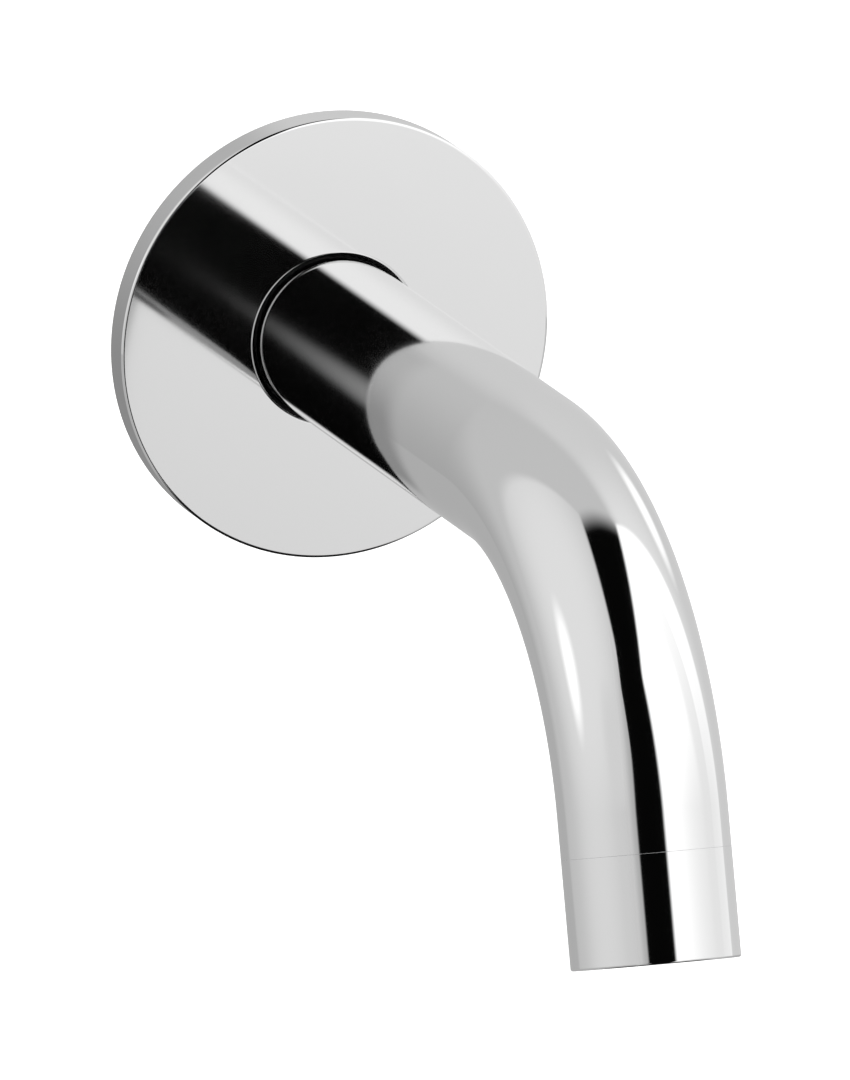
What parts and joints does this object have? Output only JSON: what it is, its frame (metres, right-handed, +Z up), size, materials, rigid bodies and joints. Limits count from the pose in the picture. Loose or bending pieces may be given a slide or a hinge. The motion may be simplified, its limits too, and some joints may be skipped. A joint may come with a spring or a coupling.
{
  "type": "wall-mounted basin spout",
  "caption": "Bent round wall-mounted basin spout with a round wall flange, a flush outlet collar and a hidden aerator, fixed on a threaded wall nipple by a grub screw from below.",
  "frame": {"origin": "on the spout's axis in the plane of the finished wall", "axes": "+Y into the wall along the nipple's thread, so the tube runs out along -Y; +Z up, so the outlet points down; X across"},
  "size_m": [0.076, 0.1877, 0.1089],
  "materials": {
    "polished_chrome": "polished chrome plate on brass",
    "turned_brass": "turned, with fine tool marks",
    "stainless_steel": "plain stainless",
    "black_rubber": "smooth black rubber",
    "grey_foam": "closed-cell foam",
    "red_fibre": "pressed fibre",
    "white_plastic": "moulded, slightly matt",
    "grey_plastic": "moulded, slightly matt",
    "green_plastic": "moulded, slightly matt"
  },
  "bodies": {
    "root": {"spout_tube": "polished_chrome", "wall_flange": "polished_chrome", "outlet_collar": "polished_chrome", "flange_o_ring": "black_rubber", "flange_gasket": "grey_foam", "wall_nipple": "turned_brass", "nipple_seal": "red_fibre", "nipple_o_ring_rear": "black_rubber", "nipple_o_ring_front": "black_rubber", "inlet_bush": "turned_brass", "grub_screw": "stainless_steel", "outlet_spigot": "turned_brass", "aerator_washer": "black_rubber", "strainer_dome": "grey_plastic", "flow_regulator": "green_plastic", "regulator_o_ring": "black_rubber", "jet_splitter": "grey_plastic", "aerator_housing": "white_plastic", "screen_retainer": "stainless_steel", "mixing_screen_upper": "stainless_steel", "mixing_screen_lower": "stainless_steel", "outlet_grid": "white_plastic"}
  },
  "joints": []
}
